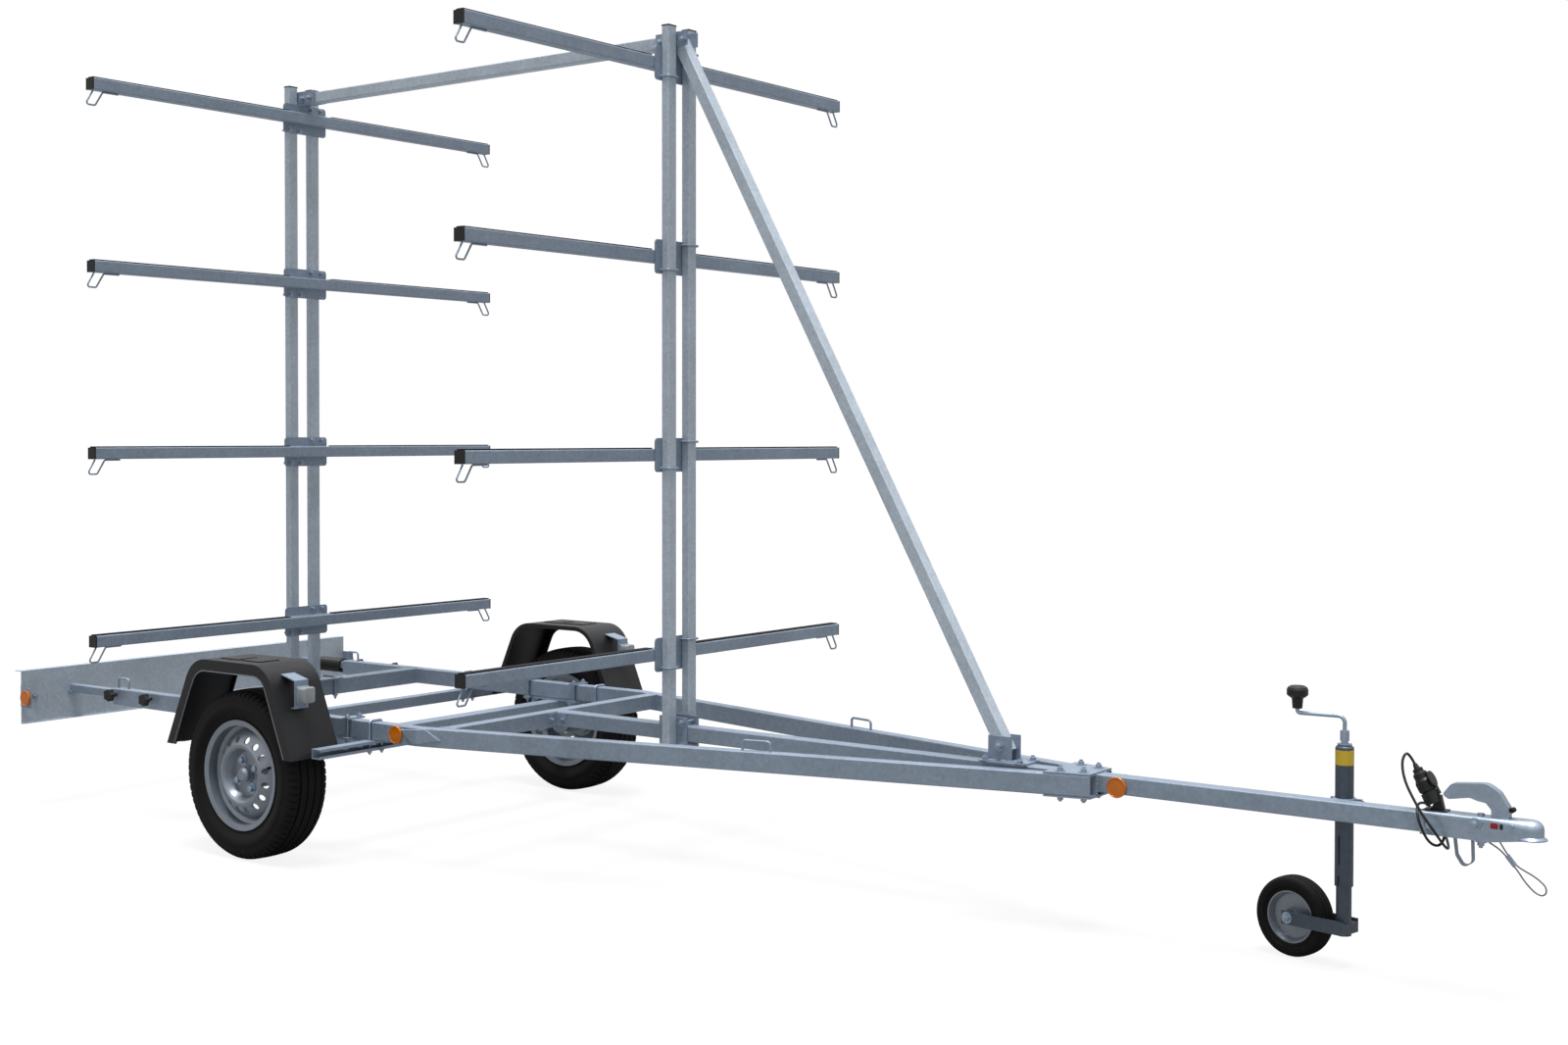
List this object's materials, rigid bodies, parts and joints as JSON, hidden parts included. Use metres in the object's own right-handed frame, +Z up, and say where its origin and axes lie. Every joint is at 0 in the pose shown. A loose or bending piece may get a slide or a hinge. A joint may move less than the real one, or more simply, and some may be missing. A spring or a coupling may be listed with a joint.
{
  "type": "boat rack trailer",
  "caption": "Galvanised road trailer with a V drawbar and two pairs of posts that carry cross arms at several heights for canoes and kayaks.",
  "frame": {"origin": "middle of the trailer's own length and width, on the ground under it", "axes": "X forward to the coupling, Y to the trailer's left, Z up"},
  "size_m": [5.298, 1.9116, 2.71],
  "materials": {
    "galvanised_steel": "hot-dip galvanised",
    "zinc_fittings": "bright zinc plated",
    "tyre_rubber": "black tyre rubber",
    "wheel_steel": "silver painted steel",
    "black_rubber": "black rubber",
    "black_plastic": "black moulded plastic",
    "red_lens": "red moulded lens",
    "white_lens": "clear moulded lens",
    "amber_lens": "amber moulded reflector",
    "grey_rubber": "dark grey solid rubber",
    "steel_rope": "sheathed wire rope"
  },
  "bodies": {
    "frame": {"rail_right": "galvanised_steel", "rail_left": "galvanised_steel", "rear_crossbeam": "galvanised_steel", "front_crossbeam": "galvanised_steel", "drawbar": "galvanised_steel", "mudguard_beam": "galvanised_steel", "mudguard_channel": "galvanised_steel", "frame_gussets": "galvanised_steel", "axle_beam": "galvanised_steel", "swing_arm_right": "galvanised_steel", "swing_arm_left": "galvanised_steel", "posts": "galvanised_steel", "rear_post_base": "galvanised_steel", "front_post_clamp": "galvanised_steel", "top_brace": "galvanised_steel", "diagonal_brace": "galvanised_steel", "brace_top_plates": "galvanised_steel", "brace_foot": "galvanised_steel", "cross_arms": "galvanised_steel", "jockey_clamp": "galvanised_steel", "rail_ties": "zinc_fittings", "arm_clamps": "zinc_fittings", "lashing_loops": "zinc_fittings", "lamp_brackets": "zinc_fittings", "lashing_hoops": "zinc_fittings", "coupling": "zinc_fittings", "coupling_handle": "zinc_fittings", "plug_holder": "zinc_fittings", "rest_strap": "zinc_fittings", "arm_strips": "black_rubber", "cable_grommet": "black_rubber", "connecting_cable": "black_rubber", "tube_caps": "black_plastic", "rail_knobs": "black_plastic", "plug": "black_plastic", "mudguard_right": "black_plastic", "mudguard_left": "black_plastic", "position_lamps": "white_lens", "side_reflectors": "amber_lens", "safety_rope": "steel_rope", "rope_ferrule": "steel_rope"},
    "wheel_right": {"tyre_right": "tyre_rubber", "rim_right": "wheel_steel", "hub_right": "wheel_steel"},
    "wheel_left": {"tyre_left": "tyre_rubber", "rim_left": "wheel_steel", "hub_left": "wheel_steel"},
    "light_board": {"board_panel": "galvanised_steel", "board_carriers": "galvanised_steel", "rear_lamps": "red_lens", "board_reflectors": "red_lens", "curly_lead": "black_rubber"},
    "jockey_tube": {"jockey_tube": "zinc_fittings", "jockey_crank": "zinc_fittings", "crank_grip": "black_plastic"},
    "jockey_leg": {"jockey_leg": "zinc_fittings"},
    "jockey_wheel": {"jockey_tyre": "grey_rubber", "jockey_rim": "wheel_steel"}
  },
  "joints": [
    {"name": "wheel_right_spin", "type": "hinge", "parent": "frame", "child": "wheel_right", "pos_m": [-1.239, -0.7725, 0.278], "axis": [0, 1, 0], "continuous": true},
    {"name": "wheel_left_spin", "type": "hinge", "parent": "frame", "child": "wheel_left", "pos_m": [-1.239, 0.7725, 0.278], "axis": [0, 1, 0], "continuous": true},
    {"name": "light_board_slide", "type": "slide", "parent": "frame", "child": "light_board", "axis": [-1, 0, 0], "range_m": [0, 0.6]},
    {"name": "jockey_tube_slide", "type": "slide", "parent": "frame", "child": "jockey_tube", "axis": [0, 0, 1], "range_m": [0, 0.18]},
    {"name": "jockey_leg_slide", "type": "slide", "parent": "jockey_tube", "child": "jockey_leg", "axis": [0, 0, 1], "range_m": [0, 0.09]},
    {"name": "jockey_wheel_spin", "type": "hinge", "parent": "jockey_leg", "child": "jockey_wheel", "pos_m": [1.9732, 0.1068, 0.1075], "axis": [0.2079, 0.9781, 0], "continuous": true}
  ]
}
